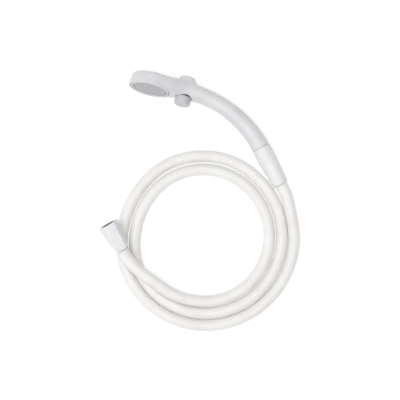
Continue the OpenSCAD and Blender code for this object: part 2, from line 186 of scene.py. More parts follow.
# Moulded acetal: the nuts are a shade duller and finer grained than the shell.
nut_white = finish_of(
    "Acetal moulded satin white", "#E6E6E7", "#E1E1E3", 14, (0.34, 0.44), 0.8, 0.02, ior=1.48)
# Moulded ABS with a little blue: the stop button stands out pale and cool against the shell.
button_pale = finish_of(
    "ABS moulded pale grey", "#C4C4C8", "#BEBEC3", 8, (0.3, 0.4), 0.8, 0.02, ior=1.53)
# Moulded ABS, spark eroded: an even grey with a fine matt grain.
plate_grey = finish_of("ABS eroded grey", "#BCBBBE", "#B4B3B7", 6, (0.42, 0.55), 0.5, 0.03, ior=1.53)
# Silicone: the soft spray nozzles, a little darker and duller than the plate.
nozzle_grey = finish_of(
    "Silicone moulded grey", "#A9A9AE", "#A0A0A6", 3, (0.5, 0.62), 0.4, 0.02, ior=1.43)
# Silicone: the bead round the plate, painted dark grey as the shadow where it sits deep between two
# walls.
bead_painted_shade_grey = finish_of(
    "Silicone dark grey painted groove shade", "#77777C", "#6E6E73", 3, (0.5, 0.62), 0.4, 0.02, ior=1.43)
# Extruded PVC: creamy white, smooth and slightly waxy, with light that bleeds through its wall.
hose_pvc = finish_of(
    "PVC extruded white", "#E7E6E4", "#E4E2E0", 22, (0.42, 0.52), 1.4, 0.02, ior=1.53, glow=0.8)
# Natural acetal: the valve parts inside.
inner_plastic = finish_of(
    "Acetal turned natural", "#D8D6CF", "#CFCDC5", 5, (0.4, 0.5), 0.5, 0.02, ior=1.48)
# Turned brass: warm yellow with fine tool marks.
brass = finish_of("Brass turned", "#C9A860", "#BE9A50", 5, (0.28, 0.38), 0.3, 0.02, metallic=1.0)
# Nickel-plated brass: a cool metal deep in the nut's mouth, set darker than bright plating as painted
# shade of the deep bore.
nickel_darkened_as_shade = finish_of(
    "Nickel-plated brass turned, painted dark as shade", "#77777A", "#69696C", 5, (0.32, 0.42), 0.3, 0.02, metallic=1.0)
# Stainless steel: grey, drawn and perforated.
steel = finish_of(
    "Stainless steel drawn", "#B4B4B2", "#A6A6A4", 4, (0.25, 0.35), 0.3, 0.01, metallic=1.0)
# EPDM rubber: black and matt, with a dusty grain.
rubber = finish_of(
    "EPDM rubber moulded black", "#202021", "#19191A", 3, (0.6, 0.75), 0.3, 0.03, ior=1.5)


# ---------------------------------------------------------------- mesh helpers
def mesh_of(name, points, faces):
    """A mesh in millimetres."""
    mesh = bpy.data.meshes.new(name)
    mesh.from_pydata([tuple(p) for p in points], [], [tuple(f) for f in faces])
    return mesh


def put_piece(name, mesh, place, body, replaces=()):
    """A smooth piece from a mesh in millimetres, put in its place, that rides on its body. It hides
    the nodes that it stands for."""
    mesh.transform(place)
    mesh.shade_smooth()
    mesh.update()
    piece = bpy.data.objects.new(name, mesh)
    bpy.context.scene.collection.objects.link(piece)
    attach(piece, body)
    if replaces:
        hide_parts(*replaces)
    return piece


def make_piece(name, points, faces, place, material, body, replaces=(), uv=None):
    """A piece of one material, from points that its place puts into metres in the row's frame."""
    mesh = mesh_of(name, points, faces)
    mesh.materials.append(material)
    if uv is not None:
        layer = mesh.uv_layers.new(name="UVMap")
        layer.data.foreach_set("uv", np.asarray(uv, np.float32).ravel())
    return put_piece(name, mesh, place, body, replaces)


def rounded(corners):
    """An outline from (r, z, fillet) corners, each corner turned into an arc of that radius."""
    outline = []
    count = len(corners)
    for i, (r, z, fillet) in enumerate(corners):
        here = np.array((r, z), float)
        if not fillet:
            outline.append(here)
            continue
        before = np.array(corners[i - 1][:2], float) - here
        after = np.array(corners[(i + 1) % count][:2], float) - here
        before /= np.linalg.norm(before)
        after /= np.linalg.norm(after)
        half = math.acos(np.clip(before @ after, -1, 1)) / 2
        middle = here + (before + after) / np.linalg.norm(before + after) * fillet / math.sin(half)
        start = here + before * fillet / math.tan(half) - middle
        end = here + after * fillet / math.tan(half) - middle
        steps = max(3, round(fillet * 4))
        sweep = math.acos(np.clip(start @ end / fillet**2, -1, 1))
        for k in range(steps + 1):
            share = k / steps
            a = math.sin((1 - share) * sweep) / math.sin(sweep)
            b = math.sin(share * sweep) / math.sin(sweep)
            outline.append(middle + a * start + b * end)
    return np.array(outline)


def ring_faces(rings, sides, closed):
    """Quads between rings of points, and from the last ring back to the first if closed."""
    faces = []
    for a in range(rings if closed else rings - 1):
        b = (a + 1) % rings
        for i in range(sides):
            j = (i + 1) % sides
            faces.append((a * sides + i, a * sides + j, b * sides + j, b * sides + i))
    return faces


def spin(outline, sides=96):
    """The solid that an (r, z) outline sweeps round Z. An outline that starts and ends on the axis
    gets a pole at each end, and any other is a closed loop. It runs anticlockwise, r to the right."""
    angles = np.arange(sides) * TURN / sides
    on_axis = abs(outline[0][0]) < 1e-9
    rings = outline[1:-1] if on_axis else outline
    points = np.array([(r * math.cos(a), r * math.sin(a), z) for r, z in rings for a in angles])
    faces = ring_faces(len(rings), sides, closed=not on_axis)
    if on_axis:
        first, last = len(points), len(points) + 1
        points = np.vstack([points, (0, 0, outline[0][1]), (0, 0, outline[-1][1])])
        end = (len(rings) - 1) * sides
        faces += [(first, (i + 1) % sides, i) for i in range(sides)]
        faces += [(last, end + i, end + (i + 1) % sides) for i in range(sides)]
    return points, faces


def sharpen(piece, degrees=35):
    """Edges steeper than this stay crisp in the shading."""
    piece.data.set_sharp_from_angle(angle=math.radians(degrees))


# ---------------------------------------------------------------- hose
COIL_OFF = Vector((-95.40, -71.98, 0))
COIL_START, COIL_STEP = -24, 24
ON_FLOOR = HOSE_R
# The turns, from the cone nut to the wall nut: distance from the coil's centre and height, every
# 24 degrees clockwise seen from above.
COIL = [
    (115.5, 14), (113, 9.5), (111.5, 8), (110.5, ON_FLOOR), (110.5, ON_FLOOR),
    (111, ON_FLOOR), (111.5, ON_FLOOR), (112, ON_FLOOR), (111.5, ON_FLOOR), (110, ON_FLOOR),
    (110, ON_FLOOR), (111, ON_FLOOR), (109.5, ON_FLOOR), (107, ON_FLOOR), (103, ON_FLOOR),
    (100, ON_FLOOR), (97.5, ON_FLOOR), (95.5, ON_FLOOR), (95, ON_FLOOR), (95, ON_FLOOR),
    (95.5, ON_FLOOR), (96, ON_FLOOR), (96.5, ON_FLOOR), (95, ON_FLOOR), (93, ON_FLOOR),
    (93, ON_FLOOR), (93.3, ON_FLOOR), (91.8, ON_FLOOR), (89.3, ON_FLOOR), (86, ON_FLOOR),
    (83, ON_FLOOR), (80.8, ON_FLOOR), (79.2, ON_FLOOR), (78.8, ON_FLOOR), (79, 8.5),
    (79.7, 11), (82, 15.5), (87.5, 20.5),
]
HOSE_START = THREAD_L + WASHER_H + FLANGE_H + 1
# How far the hose runs straight on its upper tail, and past the cone nut's end
ON_TAIL, PAST_CONE = 18, 14
# Where the hose comes free of the cone nut, and how far it runs straight into the wall nut
HOSE_TAIL = 16
HOSE_STEP, HOSE_SIDES = 3, 48


def hose_points():
    """The points that the hose runs through, in metres."""
    points = [STUB @ Vector((0, 0, d))
              for d in (HOSE_START, HOSE_START + ON_TAIL, CONE_L, CONE_L + PAST_CONE)]
    centre = STUB @ Vector((0, 0, CONE_L)) + COIL_OFF * MM
    for i, (distance, height) in enumerate(COIL):
        angle = math.radians(COIL_START + COIL_STEP * i)
        points.append(Vector((centre.x + distance * math.cos(angle) * MM,
                              centre.y - distance * math.sin(angle) * MM, height * MM)))
    return points + [nut_centre - d * MM * nut_way for d in (HOSE_TAIL, GAP)]


def curve_through(points, spacing):
    """A natural cubic curve through the points, as points about that far apart."""
    p = np.array(points, float)
    t = np.concatenate([[0], np.cumsum(np.linalg.norm(np.diff(p, axis=0), axis=1))])
    h = np.diff(t)
    n = len(p)
    system, right = np.eye(n), np.zeros((n, 3))
    for i in range(1, n - 1):
        system[i, i - 1:i + 2] = h[i - 1], 2 * (h[i - 1] + h[i]), h[i]
        right[i] = 6 * ((p[i + 1] - p[i]) / h[i] - (p[i] - p[i - 1]) / h[i - 1])
    bend = np.linalg.solve(system, right)
    s = np.linspace(0, t[-1], int(t[-1] / spacing) + 1)
    i = np.clip(np.searchsorted(t, s, side="right") - 1, 0, n - 2)
    a, b, w = (t[i + 1] - s)[:, None], (s - t[i])[:, None], h[i][:, None]
    return ((bend[i] * a**3 + bend[i + 1] * b**3) / (6 * w)
            + (p[i] / w - bend[i] * w / 6) * a + (p[i + 1] / w - bend[i + 1] * w / 6) * b)


def tube_along(path, radius, sides):
    """A closed tube along the path: its points, its faces and a UV corner for each face corner."""
    ways = np.gradient(path, axis=0)
    ways /= np.linalg.norm(ways, axis=1)[:, None]
    side = np.cross(ways[0], (0, 0, 1))
    points = []
    for centre, way in zip(path, ways):
        side = side - way * (side @ way)
        side /= np.linalg.norm(side)
        up = np.cross(side, way)
        points += [centre + radius * (math.cos(a) * side + math.sin(a) * up)
                   for a in np.arange(sides) * TURN / sides]
    rings = len(path)
    faces = ring_faces(rings, sides, closed=False)
    round_way = TURN * radius
    run = np.concatenate([[0], np.cumsum(np.linalg.norm(np.diff(path, axis=0), axis=1))])
    corners = []
    for a in range(rings - 1):
        for i in range(sides):
            u0, u1 = i / sides * round_way, (i + 1) / sides * round_way
            corners += [(u0, run[a]), (u1, run[a]), (u1, run[a + 1]), (u0, run[a + 1])]
    for ring, step in ((0, -1), (rings - 1, 1)):
        faces.append(tuple(ring * sides + i for i in range(sides))[::step])
        corners += [(0, run[ring])] * sides
    return points, faces, corners


def make_hose():
    """One length of hose: out of the cone nut, two and a half turns, and up to the wall nut."""
    path = curve_through(hose_points(), HOSE_STEP * MM)
    points, faces, corners = tube_along(path, HOSE_R * MM, HOSE_SIDES)
    hose = make_piece("hose_tube", points, faces, Matrix.Identity(4), hose_pvc, "handset",
                      ["hose"], corners)
    sharpen(hose)


# ---------------------------------------------------------------- body shell
neck_mid = NECK_H / 2 + NECK_LIFT
base_r = BEND_R - neck_mid
axis_l = BEND_X + base_r * BEND_A
waist_x = NECK_X + 22
seat_z = RING_H + 1
collar_top = neck_mid + NECK_H / 2 + COLLAR_H
lower_seat = neck_mid - NECK_H / 2 + LOWER_IN + TRAVEL + GAP
upper_seat = neck_mid + NECK_H / 2 - UPPER_IN - GAP
# Where the head starts to taper, and how much sooner its top reaches the neck's than its sides do
TAPER_START, RISE_LEAD = 4, 12
# Roundness of a cross-section at the head and at the handle: 2 is an ellipse, more is squarer
SQUARE_HEAD, SQUARE_HANDLE = 4.5, 2
# How far the taper stands inside the head, so that the head's own shape shows: at its sides, and
# all round it over its first length
SIDE_INSET, FOOT_INSET, FOOT_INSET_L = 0.6, 1.2, 24
# How far beyond the neck its width takes to become the handle's, and its section to become round
WAIST_L, ROUND_L = 30, 12
# Radii of the edges: at the face, on the collar, at the handle's end and round the seats
FACE_ROUND, COLLAR_ROUND, END_ROUND, FACE_SEAT_ROUND, BUTTON_SEAT_ROUND = 1.2, 0.7, 0.5, 0.3, 0.5
COLLAR_WALL, COLLAR_FLOW = 0.8, 5
# How softly the taper flows into the head: at the face, and how much more at the back
FACE_FLOW, BACK_FLOW = 0.3, 5
# Room round the face ring, and how far the water chamber stands inside the ring
RING_RUN, CHAMBER_STEP = 0.1, 0.5
# Where the handle's bore begins, along the handle's axis
BORE_START = VALVE_X + BUTTON_R + 4
# Grid cell of the shell's surface net, and how often its points are drawn onto the surface
SHELL_CELL, SHELL_ROUNDS = 0.65, 8


def mix(a, b, share):
    return a + (b - a) * share


def ease(share):
    c = np.clip(share, 0, 1)
    return c * c * (3 - 2 * c)


def meet(a, b, radius):
    """The distance from what two solids share, with the edge where they meet rounded."""
    near_a, near_b = np.maximum(a + radius, 0), np.maximum(b + radius, 0)
    return np.minimum(np.maximum(a, b) + radius, 0) + np.hypot(near_a, near_b) - radius


def blend(a, b, width):
    """The distance from two solids that flow into each other over that width."""
    share = np.clip(0.5 + 0.5 * (b - a) / width, 0, 1)
    return mix(b, a, share) - width * share * (1 - share)


def handle_place(x, z):
    """How far along the handle's axis a point is, and how high over it."""
    straight = x < BEND_X
    turned = np.arctan2(x - BEND_X, z + base_r)
    u = np.where(straight, x, BEND_X + base_r * turned)
    h = np.where(straight, z, np.hypot(x - BEND_X, z + base_r) - base_r)
    return u, h


def handle_distance(u, y, h):
    """The tapering neck and the round handle."""
    taper = ease((u - TAPER_START) / (NECK_X - TAPER_START))
    rise = ease((u - TAPER_START) / (NECK_X - TAPER_START - RISE_LEAD))
    grip = mix(NECK_H, GRIP_D, ease((u - waist_x) / (axis_l - waist_x)))
    in_neck = u < NECK_X
    half = np.where(in_neck, mix(HEAD_R - SIDE_INSET, NECK_W / 2, taper),
                    mix(NECK_W, grip, ease((u - NECK_X) / WAIST_L)) / 2)
    top = np.where(in_neck, mix(HEAD_H, neck_mid + NECK_H / 2, rise), neck_mid + grip / 2)
    low = np.where(in_neck, mix(0, neck_mid - NECK_H / 2, taper), neck_mid - grip / 2)
    square = mix(SQUARE_HEAD, SQUARE_HANDLE, ease(u / (NECK_X + ROUND_L)))
    a = np.maximum(np.abs(y) / half, 1e-4)
    b = np.maximum(np.abs(h - (top + low) / 2) / ((top - low) / 2), 1e-4)
    size = (a**square + b**square) ** (1 / square)
    slope = np.hypot((a / size) ** (square - 1) / half,
                     (b / size) ** (square - 1) / ((top - low) / 2))
    inset = FOOT_INSET * (1 - ease(u / FOOT_INSET_L))
    return np.maximum((size - 1) / slope + inset, -u)


def shell_distance(p):
    """Roughly the distance from the body shell in millimetres, less than 0 inside its wall."""
    x, y, z = p[..., 0], p[..., 1], p[..., 2]
    r = np.hypot(x, y)
    u, h = handle_place(x, z)
    head = meet(r - HEAD_R + HEAD_DRAFT * z / HEAD_H, -z, FACE_ROUND)
    head = meet(head, z - HEAD_H, HEAD_ROUND)
    solid = blend(head, handle_distance(u, y, h), FACE_FLOW + BACK_FLOW * ease(z / HEAD_H))
    valve_r = np.hypot(x - VALVE_X, y)
    collar = meet(valve_r - BUTTON_R - GAP - COLLAR_WALL, z - collar_top, COLLAR_ROUND)
    solid = blend(solid, np.maximum(collar, neck_mid - z), COLLAR_FLOW)
    solid = meet(solid, u - axis_l, END_ROUND)
    # the seat of the spray face, and the water chamber over it
    solid = meet(solid, -np.maximum(r - RING_R - RING_RUN, z - seat_z), FACE_SEAT_ROUND)
    chamber = np.maximum(r - RING_R + RING_W + CHAMBER_STEP, z - HEAD_H + HEAD_WALL)
    solid = np.maximum(solid, -chamber)
    # the two button recesses, with the sleeve's bore between them
    button = valve_r - BUTTON_R - GAP
    solid = meet(solid, -np.maximum(button, z - lower_seat), BUTTON_SEAT_ROUND)
    solid = meet(solid, -np.maximum(button, upper_seat - z), BUTTON_SEAT_ROUND)
    solid = np.maximum(solid, SLEEVE_R - valve_r)
    # the handle's bore, and the seat of the stub at its end
    middle_r = np.hypot(y, h - neck_mid)
    solid = np.maximum(solid, -np.maximum(middle_r - GRIP_BORE / 2, BORE_START - u))
    return np.maximum(solid, -np.maximum(middle_r - PLUG_R, axis_l - PLUG_L - u))


def surface_net(distance, low, high, step):
    """A quad mesh of the surface where a distance function is 0, one point in each grid cell."""
    axes = [np.arange(a, b, step) for a, b in zip(low, high)]
    inside = np.stack([distance(np.stack(np.meshgrid([x], axes[1], axes[2], indexing="ij"), -1))[0]
                       for x in axes[0]]) < 0
    full = [slice(None, -1), slice(1, None)]
    count = sum(inside[a, b, c].astype(np.int8) for a in full for b in full for c in full)
    active = (count > 0) & (count < 8)
    index = np.full(active.shape, -1)
    index[active] = np.arange(active.sum())
    points = np.array(low) + (np.argwhere(active) + 0.5) * step
    faces = []
    for axis in range(3):
        one, two = (axis + 1) % 3, (axis + 2) % 3
        here = np.take(inside, range(inside.shape[axis] - 1), axis)
        there = np.take(inside, range(1, inside.shape[axis]), axis)
        for enters in (False, True):
            at = np.argwhere((there if enters else here) & ~(here if enters else there))
            quad = []
            for back_one, back_two in ((0, 0), (1, 0), (1, 1), (0, 1)):
                cell = at.copy()
                cell[:, one] -= back_one
                cell[:, two] -= back_two
                quad.append(index[tuple(cell.T)])
            faces.append(np.stack(quad[::-1] if enters else quad, 1))
    return points, np.concatenate(faces)


def draw_onto(points, faces, distance, rounds):
    """Moves the points onto the surface and evens them out along it."""
    reach = 0.05

    def slope_at(p):
        return np.stack([(distance(p + reach * way) - distance(p - reach * way)) / (2 * reach)
                         for way in np.eye(3)], -1)

    count = np.bincount(faces.ravel(), minlength=len(points))[:, None] * 2
    for turn in range(rounds):
        slope = slope_at(points)
        move = -slope * (distance(points) / np.maximum((slope**2).sum(-1), 0.1))[:, None]
        length = np.linalg.norm(move, axis=1)[:, None]
        points = points + move * np.minimum(1, 0.4 / np.maximum(length, 1e-9))
        if turn < rounds - 2:
            total = np.zeros_like(points)
            for k in range(4):
                for step in (1, 3):
                    np.add.at(total, faces[:, k], points[faces[:, (k + step) % 4]])
            normal = slope / np.maximum(np.linalg.norm(slope, axis=1), 1e-9)[:, None]
            drift = total / count - points
            points = points + 0.6 * (drift - normal * (drift * normal).sum(-1)[:, None])
    return points


def make_body_shell():
    """Head, collar, neck and handle in one moulding, with no seam."""
    reach = Vector((BEND_X + BEND_R * math.sin(BEND_A), 0, -BEND_R * (1 - math.cos(BEND_A))))
    low = (-HEAD_R - 2, -HEAD_R - 2, reach.z - 8)
    high = (reach.x + 12, HEAD_R + 2, collar_top + 3)
    points, faces = surface_net(shell_distance, low, high, SHELL_CELL)
    points = draw_onto(points, faces, shell_distance, SHELL_ROUNDS)
    shell = make_piece("body_moulding", points, faces, HANDSET, shell_white, "handset",
                       ["body_shell"])
    sharpen(shell, 50)


make_body_shell()


# ---------------------------------------------------------------- node trees
def start_tree(name, inputs):
    """A geometry tree with a Geometry input, the named inputs, and its Geometry output."""
    tree = bpy.data.node_groups.new(name, "GeometryNodeTree")
    tree.interface.new_socket("Geometry", in_out="INPUT", socket_type="NodeSocketGeometry")
    for label, kind in inputs.items():
        tree.interface.new_socket(label, in_out="INPUT", socket_type="NodeSocket" + kind)
    tree.interface.new_socket("Geometry", in_out="OUTPUT", socket_type="NodeSocketGeometry")
    return tree, add(tree, "NodeGroupInput").outputs


def end_tree(tree, geometry, material):
    """Makes the instances real, gives the result its material and sends it out."""
    real = add(tree, "GeometryNodeRealizeInstances", {"Geometry": geometry})
    coloured = add(tree, "GeometryNodeSetMaterial", {
        "Geometry": real.outputs[0], "Material": material})
    add(tree, "NodeGroupOutput", {"Geometry": coloured.outputs[0]})


def grow(name, mesh, tree, values):
    """The plain mesh that a tree makes from a mesh with those values for its named inputs."""
    seed = bpy.data.objects.new(name, mesh)
    bpy.context.scene.collection.objects.link(seed)
    modifier = seed.modifiers.new("grow", "NODES")
    modifier.node_group = tree
    for item in tree.interface.items_tree:
        if item.in_out == "INPUT" and item.name in values:
            modifier[item.identifier] = values[item.name]
    result = seed.evaluated_get(bpy.context.evaluated_depsgraph_get())
    grown = bpy.data.meshes.new_from_object(result)
    seed.modifiers.remove(modifier)
    bpy.data.objects.remove(seed)
    return grown


# ---------------------------------------------------------------- spray face
# Width of the grooves on both sides of the ring, and what is left free beside the soft pieces in them
GROOVE, SLIT = 0.5, 0.02
RING_SIDES = 128
# Sides and depth of the drills, and the sides of a nozzle's rim along it and round its section
DRILL_SIDES, DRILL_L, RIM_SIDES, SECTION_SIDES = 12, 12.0, 12, 6
# How far each circle of holes is turned against the one inside it, in degrees
JET_TURN = 15
# How far the middle of a nozzle's rim lies outside its hole, and how high the rim stands
RIM_OUT, RIM_H = 0.15, 0.25


def make_face_ring():
    """The bayonet ring round the plate, with a soft outer edge and a groove down each side."""
    view_r = RING_R - RING_W
    outer = RING_R - GROOVE
    outline = rounded([
        (view_r, 0.35, 0.2), (view_r + 0.5, 0.05, 0.3), (outer, 0.0, 0.45), (outer, RING_H - 0.8, 0),
        (RING_R, RING_H - 0.8, 0), (RING_R, RING_H, 0.2), (RING_R - 1.2, RING_H, 0.2),
        (RING_R - 1.2, RIB_Z, 0), (view_r, RIB_Z, 0)])
    points, faces = spin(outline, RING_SIDES)
    ring = make_piece("face_ring_trim", points, faces, HANDSET, shell_white, "spray_face",
                      ["face_ring"])
    sharpen(ring)


make_face_ring()


def make_painted_shadow_lip():
    """A black rubber lip in the groove round the ring, put there as a painted shadow line."""
    inner, outer = RING_R - GROOVE, RING_R - SLIT
    outline = rounded([(inner, 0.45, 0), (outer, 0.3, 0), (outer, 1.5, 0), (inner, 1.5, 0)])
    points, faces = spin(outline, RING_SIDES)
    # The black rubber here is painted shade: it draws the groove's shadow as a thin dark line.
    make_piece("painted_shadow_lip", points, faces, HANDSET, rubber, "spray_face")


make_painted_shadow_lip()


def make_painted_shadow_bead():
    """The soft bead between the plate and the ring, one moulding with the nozzles, dark grey as a
    painted shadow in the groove.
    """
    inner, outer = RING_R - RING_W - GROOVE + SLIT, RING_R - RING_W - SLIT
    root = RIB_Z - SLIT
    outline = rounded([(inner, 0.75, 0), (outer, 0.65, 0), (outer, root, 0), (inner, root, 0)])
    points, faces = spin(outline, RING_SIDES)
    make_piece("painted_shadow_bead", points, faces, HANDSET, bead_painted_shade_grey, "spray_face")


make_painted_shadow_bead()


def nozzle_tree():
    """Drills circles of holes through a plate and sets a soft nozzle round each one."""
    tree, given = start_tree("spray nozzles", {
        "Circle step": "Float", "Hole radius": "Float", "Nozzle radius": "Float",
        "Plate face": "Float", "Nozzle height": "Float", "Plate material": "Material",
        "Nozzle material": "Material"})
    circles = [add(tree, "GeometryNodeMeshLine", {"Count": 1}).outputs[0]]
    for k in range(1, JET_RINGS + 1):
        radius = add(tree, "ShaderNodeMath", {
            0: given["Circle step"], 1: float(k)}, operation="MULTIPLY")
        circle = add(tree, "GeometryNodeMeshCircle", {"Vertices": 6 * k, "Radius": radius.outputs[0]})
        turned = add(tree, "GeometryNodeTransform", {
            "Geometry": circle.outputs[0], "Rotation": (0, 0, math.radians(JET_TURN * k))})
        circles.append(turned.outputs[0])
    spots = add(tree, "GeometryNodeJoinGeometry")
    for circle in reversed(circles):
        tree.links.new(circle, spots.inputs[0])
    drill = add(tree, "GeometryNodeMeshCylinder", {
        "Vertices": DRILL_SIDES, "Radius": given["Hole radius"], "Depth": DRILL_L})
    drills = add(tree, "GeometryNodeInstanceOnPoints", {
        "Points": spots.outputs[0], "Instance": drill.outputs[0]})
    holes = add(tree, "GeometryNodeRealizeInstances", {"Geometry": drills.outputs[0]})
    drilled = add(
        tree, "GeometryNodeMeshBoolean", {"Mesh 1": given["Geometry"], "Mesh 2": holes.outputs[0]},
        operation="DIFFERENCE", solver="EXACT")
    plate = add(tree, "GeometryNodeSetMaterial", {
        "Geometry": drilled.outputs[0], "Material": given["Plate material"]})
    round_way = add(tree, "GeometryNodeCurvePrimitiveCircle", {
        "Resolution": RIM_SIDES, "Radius": given["Nozzle radius"]})
    wall = add(tree, "GeometryNodeCurvePrimitiveCircle", {
        "Resolution": SECTION_SIDES, "Radius": given["Nozzle height"]})
    nozzle = add(tree, "GeometryNodeCurveToMesh", {
        "Curve": round_way.outputs[0], "Profile Curve": wall.outputs[0]})
    spot = add(tree, "ShaderNodeCombineXYZ", {"Z": given["Plate face"]})
    raised = add(tree, "GeometryNodeTransform", {
        "Geometry": nozzle.outputs[0], "Translation": spot.outputs[0]})
    nozzles = add(tree, "GeometryNodeInstanceOnPoints", {
        "Points": spots.outputs[0], "Instance": raised.outputs[0]})
    soft = add(tree, "GeometryNodeSetMaterial", {
        "Geometry": nozzles.outputs[0], "Material": given["Nozzle material"]})
    both = add(tree, "GeometryNodeJoinGeometry")
    for geometry in (soft.outputs[0], plate.outputs[0]):
        tree.links.new(geometry, both.inputs[0])
    real = add(tree, "GeometryNodeRealizeInstances", {"Geometry": both.outputs[0]})
    add(tree, "NodeGroupOutput", {"Geometry": real.outputs[0]})
    return tree


def make_spray_plate():
    """The grey plate with its holes and the soft nozzles round them."""
    view_r = RING_R - RING_W - GROOVE
    top = RIB_Z + PLATE_H
    outline = rounded([
        (0, top, 0), (0, PLATE_Z, 0), (view_r - 0.6, PLATE_Z, 0.3), (view_r, PLATE_Z + 0.3, 0.2),
        (view_r, RIB_Z, 0), (RING_R - 1.3, RIB_Z, 0), (RING_R - 1.3, top, 0)])
    outline = np.vstack([outline[1:], outline[:1]])
    plate = grow("plate_seed", mesh_of("plate", *spin(outline)), nozzle_tree(), {
        "Circle step": (RING_R - RING_W - 3) / JET_RINGS, "Hole radius": JET_D / 2,
        "Nozzle radius": JET_D / 2 + RIM_OUT, "Plate face": PLATE_Z, "Nozzle height": RIM_H,
        "Plate material": plate_grey, "Nozzle material": nozzle_grey})
    piece = put_piece("spray_plate_disc", plate, HANDSET, "spray_face", ["spray_plate"])
    sharpen(piece)


make_spray_plate()


# ---------------------------------------------------------------- buttons
# A button's wall, the thickness of its top, and how deep its dish is
CAP_WALL, CAP_TOP, CAP_DISH = 2.2, 2.6, 0.35


def make_button(name, face_z, skirt, edge, material, node, upward):
    """A round cap with a soft edge and a shallow dish where the finger goes."""
    bore = BUTTON_R - CAP_WALL
    outline = rounded([
        (0, CAP_DISH, 0), (BUTTON_R * 0.55, CAP_DISH, 2.0), (BUTTON_R - edge, 0, 1.2),
        (BUTTON_R, edge * 0.7, edge * 0.8), (BUTTON_R, skirt, 0.3), (bore, skirt, 0.2),
        (bore, CAP_TOP, 0.3), (0, CAP_TOP, 0)])
    if upward:
        outline = np.array([(r, face_z - z) for r, z in outline])[::-1]
    else:
        outline = np.array([(r, face_z + z) for r, z in outline])
    points, faces = spin(outline)
    points = points + (VALVE_X, 0, 0)
    button = make_piece(name, points, faces, HANDSET, material, "stop_valve", [node])
    sharpen(button)


make_button("lower_button_cap", neck_mid - NECK_H / 2 - LOWER_OUT, LOWER_OUT + LOWER_IN, 1.4,
            button_pale, "lower_button", upward=False)
make_button("upper_button_cap", collar_top + UPPER_OUT, UPPER_OUT + COLLAR_H + UPPER_IN, 1.8,
            shell_white, "upper_button", upward=True)


# ---------------------------------------------------------------- cone nut
# The bore over the stub, the room round the hose, and the length that the slip ring takes
THREAD_WAY_R, HOSE_RUN, SLIP_ROOM = 10.5, 0.3, 1.6


def make_cone_nut():
    """The long tapered nut that holds the hose to the handle."""
    way_r, hose_way_r = FLANGE_R + GAP, HOSE_R + HOSE_RUN
    shoulder = THREAD_L + WASHER_H + FLANGE_H + SLIP_ROOM
    outline = rounded([
        (THREAD_WAY_R, GAP, 0.3), (CONE_D1 / 2, GAP, 0.5), (CONE_D / 2, CONE_X, 60),
        (CONE_D2 / 2, CONE_L, 0.9), (hose_way_r, CONE_L, 0.5), (hose_way_r, shoulder, 0),
        (way_r, shoulder, 0), (way_r, THREAD_L, 0), (THREAD_WAY_R, THREAD_L, 0)])
    points, faces = spin(outline)
    nut = make_piece("cone_nut_shell", points, faces, STUB, nut_white, "cone_nut",
                     ["cone_nut"])
    sharpen(nut)


make_cone_nut()


# ---------------------------------------------------------------- wall nut
seal_face = NUT_L - NUT_THREAD_L
chamber_r = FLANGE_R + GAP
shoulder_z = seal_face - WASHER_H - FLANGE_H - SLIP_ROOM - GAP - 0.25
# How the nut is turned: the rounding at the hose and its length, and the chamfer at the mouth
BACK_R, BACK_L, MOUTH_CHAMFER = 1.6, 4, 0.9
# Radius, length and chamfer of the lip in front of the bush
LIP_R, LIP_L, LIP_CHAMFER = 9.7, 1, 0.3
# How sharp the hexagon's corners are, and how tightly its outer limits blend: more is sharper
CORNER, LIMIT = 40, 30
NUT_SIDES = 144


def hexagon_reach(angle, apothem):
    """How far a hexagon with soft corners reaches at an angle."""
    lean = [np.maximum(np.cos(angle - k * TURN / 6 - TURN / 12), 0) ** CORNER for k in range(6)]
    return apothem / sum(lean) ** (1 / CORNER)


def nut_reach(angle, z):
    """The wall nut's outer surface: a tapered hexagon, turned round at the hose and at the mouth."""
    apothem = mix(NUT_D2, NUT_D1, z / NUT_L) / 2 * math.cos(TURN / 12)
    reach = hexagon_reach(angle, apothem)
    rise = min(z / BACK_L, 1)
    back = NUT_D2 / 2 - BACK_R + (BACK_R + 0.9) * math.sqrt(1 - (1 - rise) ** 2) + max(z - BACK_L, 0)
    mouth = NUT_D1 / 2 + 0.3 - max(z - NUT_L + MOUTH_CHAMFER, 0)
    return (reach**-LIMIT + back**-LIMIT + mouth**-LIMIT) ** (-1 / LIMIT)


def make_wall_nut():
    """The tapered six-sided nut with its chamber for the hose tail and its seat for the insert."""
    angles = np.arange(NUT_SIDES) * TURN / NUT_SIDES
    ends = BACK_L * (1 - np.cos(np.linspace(0, math.pi / 2, 9)))
    heights = [*ends, *np.linspace(BACK_L + 1, NUT_L - MOUTH_CHAMFER, 16), NUT_L - 0.3, NUT_L]
    rings = [(z, nut_reach(angles, z)) for z in heights]
    bores = [(NUT_L, LIP_R + LIP_CHAMFER), (NUT_L - LIP_CHAMFER, LIP_R), (NUT_L - LIP_L, LIP_R),
             (NUT_L - LIP_L, INSERT_R), (seal_face, INSERT_R), (seal_face, chamber_r),
             (shoulder_z, chamber_r), (shoulder_z, NUT_NECK_BORE / 2), (0, NUT_NECK_BORE / 2)]
    rings += [(z, np.full(NUT_SIDES, r)) for z, r in bores]
    points = [(r * math.cos(a), r * math.sin(a), z)
              for z, reach in rings for r, a in zip(reach, angles)]
    faces = ring_faces(len(rings), NUT_SIDES, closed=True)
    nut = make_piece("wall_nut_shell", points, faces, WALL_NUT, nut_white, "wall_nut",
                     ["wall_nut"])
    sharpen(nut, 40)
    return nut


wall_nut = make_wall_nut()


